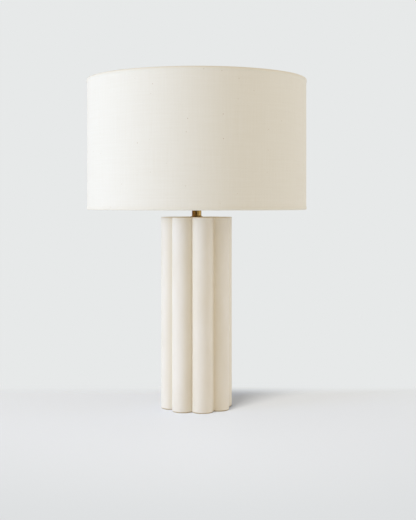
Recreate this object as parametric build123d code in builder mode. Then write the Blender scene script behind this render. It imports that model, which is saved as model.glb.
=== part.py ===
from build123d import *
import os
from math import radians, sqrt, tan

os.makedirs("parts", exist_ok=True)

# Ceramic table lamp with a lobed column and a linen drum shade.
# Millimetres, +Z up, origin on the lamp's axis where the felt meets the table.

# Column: upright lobes round a hollow middle, one lobe facing straight back
lobe_count = 8
column_radius = 67.0  # axis to the crest of a lobe
groove_depth = 14.8  # crest of a lobe to the bottom of a groove
groove_fillet = 1.2  # glaze pooled in the grooves
column_height = 353.0
column_wall = 7.5
column_top_thickness = 8.0
column_top_edge = 1.6
column_foot_edge = 1.5

# Foot: felt under a dished plate that sits in a rebate of the column
felt_thickness = 1.0
felt_inset = 1.6
rebate_inset = 4.3
plate_clearance = 0.3
plate_thickness = 1.5
dish_radius = 31.0
dish_height = 12.0
dish_taper = 10.0

# Pipe with the nut and washer that pull the lamp together
pipe_radius = 5.0
pipe_bore_radius = 3.6
pipe_clearance = 0.3
pipe_end = 1.5  # thread that shows past the nut
washer_radius = 11.0
washer_thickness = 1.5
nut_across_flats = 14.0
nut_height = 6.0
nut_edge = 0.6

# Cord outlet behind the foot
outlet_height = 24.5  # above the foot of the column
bush_bore_radius = 3.6
bush_wall = 2.0
bush_clearance = 0.2
bush_overhang = 2.5  # past the inner wall of the column
bush_mouth_fillet = 0.8
flange_overlap = 2.6
flange_thickness = 2.0
spot_face_depth = 1.8

# Brass neck and the flared ring under it
neck_radius = 8.8
neck_height = 25.0
neck_edge = 0.4
ring_radius = 12.0
ring_height = 3.0
ring_rim = 0.8

# Bulb
bulb_cap_radius = 13.1
bulb_cap_height = 21.0
bulb_cap_sheet = 0.5
bulb_neck_clearance = 0.1
bulb_neck_depth = 8.0  # glass inside the cap
bulb_radius = 30.0
bulb_length = 108.0
bulb_glass = 1.0
bulb_contact_radius = 4.5
bulb_contact_height = 1.2
bulb_insulator_height = 3.0
bulb_clearance = 0.3  # bulb to the socket, all round

# Turn-knob socket, worked out from the bulb's cap outwards
screw_sheet = 0.5
screw_height = 22.0
screw_floor_hole = 5.8
liner_room = 1.5  # screw shell to liner
liner_thickness = 0.6
liner_lip = 1.0  # liner that shows past the shell
shell_thickness = 0.7
shell_lip = 2.0  # shell above the screw shell
socket_clearance = 0.15
cap_thickness = 0.9
hub_radius = 8.0
hub_height = 7.0
cap_dome_height = 11.0
cap_rim_height = 6.0
core_cover = 6.0  # core above the switch shaft
terminal_width = 17.0
terminal_depth = 13.0
terminal_gap = 2.0  # end of the pipe to the terminal block
terminal_head_radius = 2.4
terminal_head_height = 1.6
terminal_shank_radius = 1.2
terminal_shank_length = 4.0
screw_slot_width = 0.7
screw_slot_depth = 0.6
set_screw_radius = 1.6
set_screw_length = 4.0
leaf_width = 4.0
leaf_thickness = 0.5
leaf_length = 7.0
leaf_rise = 0.8

# Rotary switch
shaft_radius = 2.2
shaft_clearance = 0.07
shaft_depth = 10.0  # shaft inside the core
shaft_rise = 4.5  # rim of the socket cap to the shaft
shaft_slot_room = 0.8
knob_radius = 6.5
knob_length = 13.0
knob_gap = 2.5  # socket shell to knob
knob_socket_depth = 9.0
knob_flutes = 12
knob_flute_radius = 1.0
knob_edge = 0.8

# Harp: saddle strip, wire bow, sleeves and stud
saddle_thickness = 2.0
saddle_bend = 4.0
saddle_boss_radius = 12.0
arm_width = 9.0
shoulder_height = 4.0  # saddle strip to the shoulders that carry the sleeves
tab_width = 4.0
tab_height = 8.0
harp_height = 207.0  # saddle strip to the shade's seat
harp_half_width = 57.0
harp_wire_radius = 1.7
harp_leg_gap = 7.4  # socket cap to sleeve
harp_flare_angle = 30.0
harp_leg_bend = 40.0
harp_side_bend = 60.0
harp_crown_flat = 18.0
sleeve_radius = 3.7
sleeve_tip_radius = 3.2
sleeve_bore_radius = 2.5
sleeve_length = 12.0
sleeve_travel = 14.0
sleeve_seat_gap = 0.3
sleeve_free_end = 2.0  # straight wire past the raised sleeve
crimp_radius = 4.5
crimp_length = 14.0
collar_radius = 7.5
collar_thickness = 2.0
crimp_drop = 5.5  # seat to the middle of the wire
stud_radius = 3.1
stud_length = 14.0

# Finial
finial_clearance = 0.08
finial_seat_gap = 0.3
finial_base_radius = 7.5
finial_base_height = 2.5
finial_neck_radius = 5.0
finial_neck_height = 4.0
finial_ball_radius = 9.0
finial_bore_spare = 1.0

# Drum shade
shade_radius = 203.5
shade_height = 240.0
fabric_thickness = 0.7
shade_liner_thickness = 0.8
ring_wire_radius = 1.8
ring_clearance = 0.1
trim_thickness = 0.5
trim_width = 6.0
trim_lip = 1.5
spider_recess = 17.0  # seat of the spider to the top of the shade
spider_wire_radius = 1.4
spider_bend_run = 10.0
spider_bend_radius = 8.0
spider_hub_radius = 13.0
spider_hub_thickness = 3.0
spider_hub_clearance = 0.4

# Heights up the lamp
foot_z = felt_thickness
column_top = foot_z + column_height
dish_ceiling = foot_z + dish_height - plate_thickness
washer_z = dish_ceiling - washer_thickness
nut_z = washer_z - nut_height
neck_z = column_top + ring_height
saddle_z = neck_z + neck_height
socket_z = saddle_z + saddle_thickness
dome_top = socket_z + hub_height + cap_dome_height
rim_top = dome_top + cap_rim_height
shaft_z = rim_top + shaft_rise
core_top = shaft_z + shaft_radius + core_cover
screw_top = core_top + screw_height
shell_top = screw_top + shell_lip
pipe_top = socket_z + hub_height + cap_thickness
seat_z = socket_z + harp_height
shade_top = seat_z + spider_recess
shade_bottom = shade_top - shade_height

# Radii of the socket's nested shells
screw_inner = bulb_cap_radius + bulb_clearance
screw_outer = screw_inner + screw_sheet
liner_inner = screw_outer + liner_room
liner_outer = liner_inner + liner_thickness
shell_inner = liner_outer + socket_clearance
shell_outer = shell_inner + shell_thickness
cap_inner = shell_outer + socket_clearance
cap_outer = cap_inner + cap_thickness
core_radius = liner_inner - socket_clearance
pipe_hole = pipe_radius + pipe_clearance

# Column foot and body
groove_distance = column_radius - groove_depth
lobe_pitch = 360 / lobe_count
back_angle = 90.0


with BuildSketch() as lobes:
    with BuildLine():
        for lobe in range(lobe_count):
            middle = back_angle + lobe * lobe_pitch
            ThreePointArc(
                Vector(groove_distance, 0).rotate(Axis.Z, middle - lobe_pitch / 2),
                Vector(column_radius, 0).rotate(Axis.Z, middle),
                Vector(groove_distance, 0).rotate(Axis.Z, middle + lobe_pitch / 2),
            )
    make_face()


def lobes_drawn_in(inset):
    """The column's outline drawn in evenly, which rounds the grooves by as much."""
    with BuildSketch() as outline:
        add(lobes.sketch)
        offset(amount=-inset)
    return outline.sketch


hollow_outline = lobes_drawn_in(column_wall)
rebate_outline = lobes_drawn_in(rebate_inset)
plate_outline = lobes_drawn_in(rebate_inset + plate_clearance)
felt_outline = lobes_drawn_in(felt_inset)

bush_radius = bush_bore_radius + bush_wall
bush_flange_radius = bush_radius + flange_overlap
bush_length = column_wall - spot_face_depth + bush_overhang
outlet_seat = Plane(
    origin=(0, column_radius - spot_face_depth, foot_z + outlet_height),
    x_dir=(1, 0, 0),
    z_dir=(0, 1, 0),
)

with BuildPart() as ceramic_column:
    with BuildSketch(Plane.XY.offset(foot_z)) as column_outline:
        add(lobes.sketch)
        fillet(column_outline.vertices(), groove_fillet)
    extrude(amount=column_height)
    fillet(ceramic_column.faces().sort_by(Axis.Z)[-1].edges(), column_top_edge)
    fillet(ceramic_column.faces().sort_by(Axis.Z)[0].edges(), column_foot_edge)
    with BuildSketch(Plane.XY.offset(foot_z)):
        add(hollow_outline)
    extrude(amount=column_height - column_top_thickness, mode=Mode.SUBTRACT)
    with BuildSketch(Plane.XY.offset(foot_z)):
        add(rebate_outline)
    extrude(amount=plate_thickness, mode=Mode.SUBTRACT)
    with Locations((0, 0, column_top)):
        Hole(pipe_hole, depth=column_top_thickness)
    with BuildSketch(outlet_seat):
        Circle(bush_flange_radius + bush_clearance)
    extrude(amount=spot_face_depth, mode=Mode.SUBTRACT)
    with BuildSketch(outlet_seat):
        Circle(bush_radius + bush_clearance)
    extrude(amount=-(column_wall + bush_radius), mode=Mode.SUBTRACT)
ceramic_column.part.label = "ceramic_column"
export_step(ceramic_column.part, "parts/ceramic_column.step")

with BuildPart() as felt_pad:
    with BuildSketch():
        add(felt_outline)
    extrude(amount=felt_thickness)
felt_pad.part.label = "felt_pad"
export_step(felt_pad.part, "parts/felt_pad.step")

with BuildPart() as bottom_plate:
    with BuildSketch(Plane.XY.offset(foot_z)):
        add(plate_outline)
    extrude(amount=plate_thickness)
    with BuildSketch(Plane.XY.offset(foot_z)):
        Circle(dish_radius)
    extrude(amount=dish_height, taper=dish_taper)
    with BuildSketch(Plane.XY.offset(foot_z)):
        Circle(dish_radius - plate_thickness)
    extrude(amount=dish_height - plate_thickness, taper=dish_taper, mode=Mode.SUBTRACT)
    with Locations((0, 0, foot_z + dish_height)):
        Hole(pipe_hole, depth=plate_thickness)
bottom_plate.part.label = "bottom_plate"
export_step(bottom_plate.part, "parts/bottom_plate.step")

with BuildPart() as bottom_washer:
    with BuildSketch(Plane.XY.offset(washer_z)):
        Circle(washer_radius)
        Circle(pipe_hole, mode=Mode.SUBTRACT)
    extrude(amount=washer_thickness)
bottom_washer.part.label = "bottom_washer"
export_step(bottom_washer.part, "parts/bottom_washer.step")

with BuildPart() as bottom_nut:
    with BuildSketch(Plane.XY.offset(nut_z)):
        RegularPolygon(nut_across_flats / 2, 6, major_radius=False)
    extrude(amount=nut_height)
    chamfer(bottom_nut.faces().sort_by(Axis.Z)[0].edges(), nut_edge)
    with Locations((0, 0, nut_z + nut_height)):
        Hole(pipe_radius, depth=nut_height)
bottom_nut.part.label = "bottom_nut"
export_step(bottom_nut.part, "parts/bottom_nut.step")

with BuildPart() as lamp_pipe:
    with BuildSketch(Plane.XY.offset(nut_z - pipe_end)):
        Circle(pipe_radius)
        Circle(pipe_bore_radius, mode=Mode.SUBTRACT)
    extrude(amount=pipe_top - nut_z + pipe_end)
lamp_pipe.part.label = "lamp_pipe"
export_step(lamp_pipe.part, "parts/lamp_pipe.step")

with BuildPart() as cord_bushing:
    with BuildSketch(outlet_seat):
        Circle(bush_flange_radius)
    extrude(amount=flange_thickness)
    with BuildSketch(outlet_seat):
        Circle(bush_radius)
    extrude(amount=-bush_length)
    with BuildSketch(outlet_seat):
        Circle(bush_bore_radius)
    extrude(amount=bush_length + flange_thickness, both=True, mode=Mode.SUBTRACT)
    fillet(cord_bushing.faces().sort_by(Axis.Y)[-1].edges(), bush_mouth_fillet)
cord_bushing.part.label = "cord_bushing"
export_step(cord_bushing.part, "parts/cord_bushing.step")

# Neck and its ring
with BuildPart() as seat_ring:
    with BuildSketch(Plane.XZ):
        with BuildLine():
            Polyline(
                (neck_radius, neck_z),
                (pipe_hole, neck_z),
                (pipe_hole, column_top),
                (ring_radius, column_top),
                (ring_radius, column_top + ring_rim),
            )
            EllipticalCenterArc(
                (ring_radius, neck_z),
                ring_radius - neck_radius,
                ring_height - ring_rim,
                start_angle=180,
                arc_size=90,
            )
        make_face()
    revolve(axis=Axis.Z)
seat_ring.part.label = "seat_ring"
export_step(seat_ring.part, "parts/seat_ring.step")

with BuildPart() as neck:
    with BuildSketch(Plane.XY.offset(neck_z)):
        Circle(neck_radius)
    extrude(amount=neck_height)
    fillet(neck.faces().sort_by(Axis.Z)[-1].edges(), neck_edge)
    with Locations((0, 0, saddle_z)):
        Hole(pipe_hole, depth=neck_height)
neck.part.label = "neck"
export_step(neck.part, "parts/neck.step")

# Harp
leg_x = cap_outer + harp_leg_gap + sleeve_radius
shoulder_z = socket_z + shoulder_height
tab_top = shoulder_z + tab_height
strip_middle = saddle_z + saddle_thickness / 2

with BuildPart() as harp_saddle:
    with BuildLine(Plane.XZ) as strip_path:
        FilletPolyline(
            (-leg_x, tab_top),
            (-leg_x, strip_middle),
            (leg_x, strip_middle),
            (leg_x, tab_top),
            radius=saddle_bend,
        )
    with BuildSketch(Plane(origin=strip_path.line @ 0, x_dir=(0, 1, 0), z_dir=strip_path.line % 0)):
        Rectangle(arm_width, saddle_thickness)
    sweep()
    with BuildSketch(Plane.XY.offset(saddle_z)):
        Circle(saddle_boss_radius)
    extrude(amount=saddle_thickness)
    with BuildSketch(Plane.YZ):
        for side in (-1, 1):
            with Locations((side * (tab_width + arm_width) / 2, shoulder_z + tab_height)):
                Rectangle(arm_width, 2 * tab_height)
    extrude(amount=leg_x + saddle_thickness, both=True, mode=Mode.SUBTRACT)
    with Locations((0, 0, socket_z)):
        Hole(pipe_hole, depth=saddle_thickness)
harp_saddle.part.label = "harp_saddle"
export_step(harp_saddle.part, "parts/harp_saddle.step")

sleeve_z = shoulder_z + sleeve_seat_gap
leg_end_z = sleeve_z + sleeve_length + sleeve_travel + sleeve_free_end
flare_start_z = leg_end_z + harp_leg_bend * tan(radians(harp_flare_angle) / 2)
flare_end_z = flare_start_z + (harp_half_width - leg_x) / tan(radians(harp_flare_angle))
crown_z = seat_z - crimp_drop
crown_bend = harp_half_width - harp_crown_flat / 2

with BuildPart() as harp_wire:
    with BuildLine(Plane.XZ) as bow:
        FilletPolyline(
            (-leg_x, tab_top),
            (-leg_x, flare_start_z),
            (-harp_half_width, flare_end_z),
            (-harp_half_width, crown_z),
            (harp_half_width, crown_z),
            (harp_half_width, flare_end_z),
            (leg_x, flare_start_z),
            (leg_x, tab_top),
            radius=[harp_leg_bend, harp_side_bend, crown_bend, crown_bend, harp_side_bend, harp_leg_bend],
        )
    with BuildSketch(Plane(origin=bow.line @ 0, x_dir=(1, 0, 0), z_dir=bow.line % 0)):
        Circle(harp_wire_radius)
    sweep()
harp_wire.part.label = "harp_wire"
export_step(harp_wire.part, "parts/harp_wire.step")

with BuildPart() as harp_stud:
    with BuildSketch(Plane.YZ):
        with Locations((0, crown_z)):
            Circle(crimp_radius)
    extrude(amount=crimp_length / 2, both=True)
    with BuildSketch(Plane.XY.offset(seat_z - collar_thickness)):
        Circle(collar_radius)
    extrude(amount=collar_thickness)
    with BuildSketch(Plane.XY.offset(seat_z)):
        Circle(stud_radius)
    extrude(amount=stud_length)
    with BuildSketch(Plane.YZ):
        with Locations((0, crown_z)):
            Circle(harp_wire_radius)
    extrude(amount=crimp_length, both=True, mode=Mode.SUBTRACT)
harp_stud.part.label = "harp_stud"
export_step(harp_stud.part, "parts/harp_stud.step")

for side_name, side in (("left", -1), ("right", 1)):
    with BuildPart() as harp_sleeve:
        with Locations((side * leg_x, 0, sleeve_z)):
            Cone(
                sleeve_radius,
                sleeve_tip_radius,
                sleeve_length,
                align=(Align.CENTER, Align.CENTER, Align.MIN),
            )
        with Locations((side * leg_x, 0, sleeve_z + sleeve_length)):
            Hole(sleeve_bore_radius, depth=sleeve_length)
    harp_sleeve.part.label = f"harp_sleeve_{side_name}"
    export_step(harp_sleeve.part, f"parts/harp_sleeve_{side_name}.step")

# Socket
set_screw_seat = Plane(
    origin=(0, pipe_radius, socket_z + hub_height / 2),
    x_dir=(1, 0, 0),
    z_dir=(0, 1, 0),
)

with BuildPart() as socket_cap:
    with BuildSketch(Plane.XZ):
        with BuildLine():
            Polyline(
                (hub_radius, socket_z + hub_height + cap_thickness),
                (pipe_radius, socket_z + hub_height + cap_thickness),
                (pipe_radius, socket_z),
                (hub_radius, socket_z),
                (hub_radius, socket_z + hub_height),
            )
            EllipticalCenterArc(
                (hub_radius, dome_top),
                cap_outer - hub_radius,
                cap_dome_height,
                start_angle=270,
                arc_size=90,
            )
            Polyline((cap_outer, dome_top), (cap_outer, rim_top), (cap_inner, rim_top), (cap_inner, dome_top))
            EllipticalCenterArc(
                (hub_radius, dome_top),
                cap_inner - hub_radius,
                cap_dome_height - cap_thickness,
                start_angle=270,
                arc_size=90,
            )
        make_face()
    revolve(axis=Axis.Z)
    with BuildSketch(set_screw_seat):
        Circle(set_screw_radius)
    extrude(amount=set_screw_length, mode=Mode.SUBTRACT)
socket_cap.part.label = "socket_cap"
export_step(socket_cap.part, "parts/socket_cap.step")

with BuildPart() as set_screw:
    with BuildSketch(set_screw_seat):
        Circle(set_screw_radius)
    extrude(amount=set_screw_length)
    with BuildSketch(set_screw_seat.offset(set_screw_length)):
        Rectangle(2 * set_screw_radius, screw_slot_width)
    extrude(amount=-screw_slot_depth, mode=Mode.SUBTRACT)
set_screw.part.label = "set_screw"
export_step(set_screw.part, "parts/set_screw.step")

shaft_axis = Plane(origin=(0, 0, shaft_z), x_dir=(1, 0, 0), z_dir=(0, -1, 0))
slot_radius = shaft_radius + shaft_slot_room
slot_drop = shaft_z - dome_top

# Slot in the front wall of the shell and liner, open at the lower edge, for the switch shaft
with BuildSketch(shaft_axis) as shaft_slot:
    Circle(slot_radius)
    with Locations((0, -slot_drop / 2)):
        Rectangle(2 * slot_radius, slot_drop)

with BuildPart() as socket_shell:
    with BuildSketch(Plane.XY.offset(dome_top)):
        Circle(shell_outer)
        Circle(shell_inner, mode=Mode.SUBTRACT)
    extrude(amount=shell_top - dome_top)
    extrude(shaft_slot.sketch, amount=cap_outer, mode=Mode.SUBTRACT)
socket_shell.part.label = "socket_shell"
export_step(socket_shell.part, "parts/socket_shell.step")

with BuildPart() as socket_liner:
    with BuildSketch(Plane.XY.offset(dome_top)):
        Circle(liner_outer)
        Circle(liner_inner, mode=Mode.SUBTRACT)
    extrude(amount=shell_top + liner_lip - dome_top)
    extrude(shaft_slot.sketch, amount=cap_outer, mode=Mode.SUBTRACT)
socket_liner.part.label = "socket_liner"
export_step(socket_liner.part, "parts/socket_liner.step")

terminal_height = dome_top - pipe_top - terminal_gap
terminal_z = dome_top - terminal_height / 2

with BuildPart() as socket_core:
    with BuildSketch(Plane.XY.offset(dome_top)):
        Circle(core_radius)
    extrude(amount=core_top - dome_top)
    with BuildSketch(Plane.XY.offset(dome_top)):
        Rectangle(terminal_width, terminal_depth)
    extrude(amount=-terminal_height)
    with BuildSketch(shaft_axis.offset(core_radius - shaft_depth)):
        Circle(shaft_radius + shaft_clearance)
    extrude(amount=shaft_depth, mode=Mode.SUBTRACT)
    with BuildSketch(Plane.YZ):
        with Locations((0, terminal_z)):
            Circle(terminal_shank_radius)
    extrude(amount=terminal_width / 2, both=True, mode=Mode.SUBTRACT)
    with BuildSketch(Plane.YZ):
        with Locations((0, terminal_z)):
            Circle(terminal_shank_radius)
    extrude(amount=terminal_width / 2 - terminal_shank_length, both=True)
socket_core.part.label = "socket_core"
export_step(socket_core.part, "parts/socket_core.step")

with BuildPart() as terminal_screws:
    for side in (-1, 1):
        face = Plane(
            origin=(side * terminal_width / 2, 0, terminal_z),
            x_dir=(0, 1, 0),
            z_dir=(side, 0, 0),
        )
        with BuildSketch(face):
            Circle(terminal_head_radius)
        extrude(amount=terminal_head_height)
        with BuildSketch(face):
            Circle(terminal_shank_radius)
        extrude(amount=-terminal_shank_length)
        with BuildSketch(face.offset(terminal_head_height)):
            Rectangle(2 * terminal_head_radius, screw_slot_width)
        extrude(amount=-screw_slot_depth, mode=Mode.SUBTRACT)
terminal_screws.part.label = "terminal_screws"
export_step(terminal_screws.part, "parts/terminal_screws.step")

with BuildPart() as screw_shell:
    with BuildSketch(Plane.XY.offset(core_top)):
        Circle(screw_outer)
    extrude(amount=screw_height)
    with BuildSketch(Plane.XY.offset(core_top + screw_sheet)):
        Circle(screw_inner)
    extrude(amount=screw_height, mode=Mode.SUBTRACT)
    with Locations((0, 0, core_top + screw_sheet)):
        Hole(screw_floor_hole, depth=screw_sheet)
screw_shell.part.label = "screw_shell"
export_step(screw_shell.part, "parts/screw_shell.step")

leaf_middle = core_top + leaf_thickness / 2

with BuildPart() as centre_contact:
    with BuildLine(Plane.XZ) as leaf_path:
        FilletPolyline(
            (-leaf_length / 2, leaf_middle),
            (-leaf_length / 6, leaf_middle),
            (leaf_length / 6, leaf_middle + leaf_rise),
            (leaf_length / 2, leaf_middle + leaf_rise),
            radius=leaf_thickness,
        )
    with BuildSketch(Plane(origin=leaf_path.line @ 0, x_dir=(0, 1, 0), z_dir=leaf_path.line % 0)):
        Rectangle(leaf_width, leaf_thickness)
    sweep()
centre_contact.part.label = "centre_contact"
export_step(centre_contact.part, "parts/centre_contact.step")

# Rotary switch, turning about the shaft
knob_start = shell_outer + knob_gap
shaft_start = core_radius - shaft_depth + shaft_clearance
shaft_length = knob_start + knob_socket_depth - shaft_start

with BuildPart() as switch_shaft:
    with BuildSketch(shaft_axis.offset(shaft_start)):
        Circle(shaft_radius)
    extrude(amount=shaft_length)
switch_shaft.part.label = "switch_shaft"
export_step(switch_shaft.part, "parts/switch_shaft.step")

with BuildPart() as switch_knob:
    with BuildSketch(shaft_axis.offset(knob_start)):
        Circle(knob_radius)
    extrude(amount=knob_length)
    chamfer(switch_knob.edges().sort_by(Axis.Y)[0], knob_edge)
    with BuildSketch(shaft_axis.offset(knob_start)):
        with PolarLocations(knob_radius, knob_flutes):
            Circle(knob_flute_radius)
    extrude(amount=knob_length, mode=Mode.SUBTRACT)
    with BuildSketch(shaft_axis.offset(knob_start)):
        Circle(shaft_radius)
    extrude(amount=knob_socket_depth, mode=Mode.SUBTRACT)
switch_knob.part.label = "switch_knob"
export_step(switch_knob.part, "parts/switch_knob.step")

# Bulb, screwed down to just above the contact leaf
contact_z = core_top + leaf_thickness + leaf_rise + bulb_clearance
insulator_z = contact_z + bulb_contact_height
bulb_cap_z = insulator_z + bulb_insulator_height
bulb_cap_top = bulb_cap_z + bulb_cap_height
bulb_neck_radius = bulb_cap_radius - bulb_cap_sheet - bulb_neck_clearance
bulb_middle_z = contact_z + bulb_length - bulb_radius
neck_rise = bulb_middle_z - bulb_cap_top
neck_curve = (bulb_neck_radius**2 + neck_rise**2 - bulb_radius**2) / (2 * (bulb_radius - bulb_neck_radius))


def bulb_outline(skin):
    """Half section of the bulb, drawn in by a skin: neck, flare and ball as tangent arcs."""
    reach = (bulb_radius - skin) / (bulb_radius + neck_curve)
    meeting = (reach * (bulb_neck_radius + neck_curve), bulb_middle_z - reach * neck_rise)
    neck_start = (bulb_neck_radius - skin, bulb_cap_top - bulb_neck_depth)
    crown = (0, bulb_middle_z + bulb_radius - skin)
    with BuildSketch(Plane.XZ) as outline:
        with BuildLine():
            straight = Line(neck_start, (neck_start[0], bulb_cap_top))
            flare = TangentArc(straight @ 1, meeting, tangent=(0, 1))
            TangentArc(meeting, crown, tangent=flare % 1)
            Polyline(crown, (0, neck_start[1]), neck_start)
        make_face()
    return outline.sketch


bulb_outside = bulb_outline(0)
bulb_inside = bulb_outline(bulb_glass)

with BuildPart() as bulb_glass_shell:
    add(bulb_outside)
    revolve(axis=Axis.Z)
    add(bulb_inside)
    revolve(axis=Axis.Z, mode=Mode.SUBTRACT)
bulb_glass_shell.part.label = "bulb_glass"
export_step(bulb_glass_shell.part, "parts/bulb_glass.step")

with BuildPart() as bulb_cap:
    with BuildSketch(Plane.XY.offset(bulb_cap_z)):
        Circle(bulb_cap_radius)
    extrude(amount=bulb_cap_height)
    with BuildSketch(Plane.XY.offset(bulb_cap_top)):
        Circle(bulb_cap_radius - bulb_cap_sheet)
    extrude(amount=-(bulb_cap_height - bulb_cap_sheet), mode=Mode.SUBTRACT)
bulb_cap.part.label = "bulb_cap"
export_step(bulb_cap.part, "parts/bulb_cap.step")

with BuildPart() as bulb_insulator:
    with Locations((0, 0, insulator_z)):
        Cone(
            bulb_contact_radius,
            bulb_cap_radius - bulb_cap_sheet,
            bulb_insulator_height,
            align=(Align.CENTER, Align.CENTER, Align.MIN),
        )
bulb_insulator.part.label = "bulb_insulator"
export_step(bulb_insulator.part, "parts/bulb_insulator.step")

with BuildPart() as bulb_contact:
    with BuildSketch(Plane.XY.offset(contact_z)):
        Circle(bulb_contact_radius)
    extrude(amount=bulb_contact_height)
    fillet(bulb_contact.faces().sort_by(Axis.Z)[0].edges(), bulb_contact_height / 2)
bulb_contact.part.label = "bulb_contact"
export_step(bulb_contact.part, "parts/bulb_contact.step")

# Finial on the stud, above the hub of the spider
finial_z = seat_z + spider_hub_thickness + finial_seat_gap
finial_neck_z = finial_z + finial_base_height
finial_ball_z = finial_neck_z + finial_neck_height
finial_middle_z = finial_ball_z + sqrt(finial_ball_radius**2 - finial_neck_radius**2)
finial_top = finial_middle_z + finial_ball_radius
finial_bore_depth = seat_z + stud_length + finial_bore_spare - finial_z

with BuildPart() as finial:
    with BuildSketch(Plane.XZ):
        with BuildLine():
            Polyline(
                (0, finial_top),
                (0, finial_z),
                (finial_base_radius, finial_z),
                (finial_base_radius, finial_neck_z),
            )
            EllipticalCenterArc(
                (finial_base_radius, finial_ball_z),
                finial_base_radius - finial_neck_radius,
                finial_neck_height,
                start_angle=180,
                arc_size=90,
            )
            ThreePointArc(
                (finial_neck_radius, finial_ball_z),
                (finial_ball_radius, finial_middle_z),
                (0, finial_top),
            )
        make_face()
    revolve(axis=Axis.Z)
    with BuildSketch(Plane.XY.offset(finial_z)):
        Circle(stud_radius + finial_clearance)
    extrude(amount=finial_bore_depth, mode=Mode.SUBTRACT)
finial.part.label = "finial"
export_step(finial.part, "parts/finial.step")

# Drum shade
fabric_inner = shade_radius - fabric_thickness
panel_inner = fabric_inner - shade_liner_thickness
wire_ring_radius = panel_inner - ring_clearance - ring_wire_radius
wire_ring_inset = ring_clearance + ring_wire_radius
lip_outer = wire_ring_radius - ring_wire_radius - ring_clearance

with BuildPart() as shade_fabric:
    with BuildSketch(Plane.XY.offset(shade_bottom)):
        Circle(shade_radius)
        Circle(fabric_inner, mode=Mode.SUBTRACT)
    extrude(amount=shade_height)
shade_fabric.part.label = "shade_fabric"
export_step(shade_fabric.part, "parts/shade_fabric.step")

with BuildPart() as shade_liner:
    with BuildSketch(Plane.XY.offset(shade_bottom)):
        Circle(fabric_inner)
        Circle(panel_inner, mode=Mode.SUBTRACT)
    extrude(amount=shade_height)
shade_liner.part.label = "shade_liner"
export_step(shade_liner.part, "parts/shade_liner.step")

for rim_name, rim_z, inward in (("top", shade_top, -1), ("bottom", shade_bottom, 1)):
    with BuildPart() as shade_trim:
        with BuildSketch(Plane.XZ):
            with BuildLine():
                Polyline(
                    (shade_radius, rim_z + inward * trim_width),
                    (shade_radius + trim_thickness, rim_z + inward * trim_width),
                    (shade_radius + trim_thickness, rim_z - inward * trim_thickness),
                    (lip_outer - trim_thickness, rim_z - inward * trim_thickness),
                    (lip_outer - trim_thickness, rim_z + inward * trim_lip),
                    (lip_outer, rim_z + inward * trim_lip),
                    (lip_outer, rim_z),
                    (shade_radius, rim_z),
                    close=True,
                )
            make_face()
        revolve(axis=Axis.Z)
    shade_trim.part.label = f"{rim_name}_trim"
    export_step(shade_trim.part, f"parts/{rim_name}_trim.step")

    with BuildPart() as wire_ring:
        with Locations((0, 0, rim_z + inward * wire_ring_inset)):
            Torus(wire_ring_radius, ring_wire_radius)
    wire_ring.part.label = f"{rim_name}_ring"
    export_step(wire_ring.part, f"parts/{rim_name}_ring.step")

with BuildPart() as spider_hub:
    with BuildSketch(Plane.XY.offset(seat_z)):
        Circle(spider_hub_radius)
        Circle(stud_radius + spider_hub_clearance, mode=Mode.SUBTRACT)
    extrude(amount=spider_hub_thickness)
spider_hub.part.label = "spider_hub"
export_step(spider_hub.part, "parts/spider_hub.step")

# Arms of the spider, cut to meet the rim of the hub and the top ring
arm_z = seat_z + spider_hub_thickness / 2
top_ring_z = shade_top - wire_ring_inset

with BuildPart() as arm_blank:
    with BuildLine(Plane.XZ) as arm_path:
        FilletPolyline(
            (spider_hub_radius / 2, arm_z),
            (wire_ring_radius - spider_bend_run, arm_z),
            (wire_ring_radius, top_ring_z),
            radius=spider_bend_radius,
        )
    with BuildSketch(Plane(origin=arm_path.line @ 0, x_dir=(0, 1, 0), z_dir=arm_path.line % 0)):
        Circle(spider_wire_radius)
    sweep()
    with Locations((0, 0, arm_z)):
        Cylinder(spider_hub_radius, spider_hub_thickness, mode=Mode.SUBTRACT)
    with Locations((0, 0, top_ring_z)):
        Torus(wire_ring_radius, ring_wire_radius, mode=Mode.SUBTRACT)

for arm_name, arm_turn in (("back", back_angle), ("left", back_angle + 120), ("right", back_angle - 120)):
    with BuildPart() as spider_arm:
        add(arm_blank.part.rotate(Axis.Z, arm_turn))
    spider_arm.part.label = f"spider_arm_{arm_name}"
    export_step(spider_arm.part, f"parts/spider_arm_{arm_name}.step")
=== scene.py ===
from math import atan2, cos, hypot, pi, radians, sin, tau

import bpy
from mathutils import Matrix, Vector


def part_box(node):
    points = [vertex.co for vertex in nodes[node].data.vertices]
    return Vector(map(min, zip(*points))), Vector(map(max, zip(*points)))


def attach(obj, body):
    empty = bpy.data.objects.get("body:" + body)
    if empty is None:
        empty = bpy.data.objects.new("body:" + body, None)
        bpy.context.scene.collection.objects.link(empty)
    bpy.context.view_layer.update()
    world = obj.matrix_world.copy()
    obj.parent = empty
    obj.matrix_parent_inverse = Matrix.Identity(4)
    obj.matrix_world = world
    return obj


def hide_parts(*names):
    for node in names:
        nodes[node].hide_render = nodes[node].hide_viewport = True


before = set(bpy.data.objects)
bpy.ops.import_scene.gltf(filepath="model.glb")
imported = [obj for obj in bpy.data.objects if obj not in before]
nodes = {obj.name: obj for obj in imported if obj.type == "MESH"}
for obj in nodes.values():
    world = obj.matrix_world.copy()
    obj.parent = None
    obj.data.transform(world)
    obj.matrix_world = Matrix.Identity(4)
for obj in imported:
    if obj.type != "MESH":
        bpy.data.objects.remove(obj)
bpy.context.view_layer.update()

mm = 0.001
waveUnit = tau / 20  # a wave texture of scale 1 repeats after this length
sharpEdge = radians(50)  # edges that turn by more than this are bevelled
mergeGap = 0.002 * mm  # corners of a spun outline closer than this fall together
print("frame loaded:", len(nodes), "CAD nodes")


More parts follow.
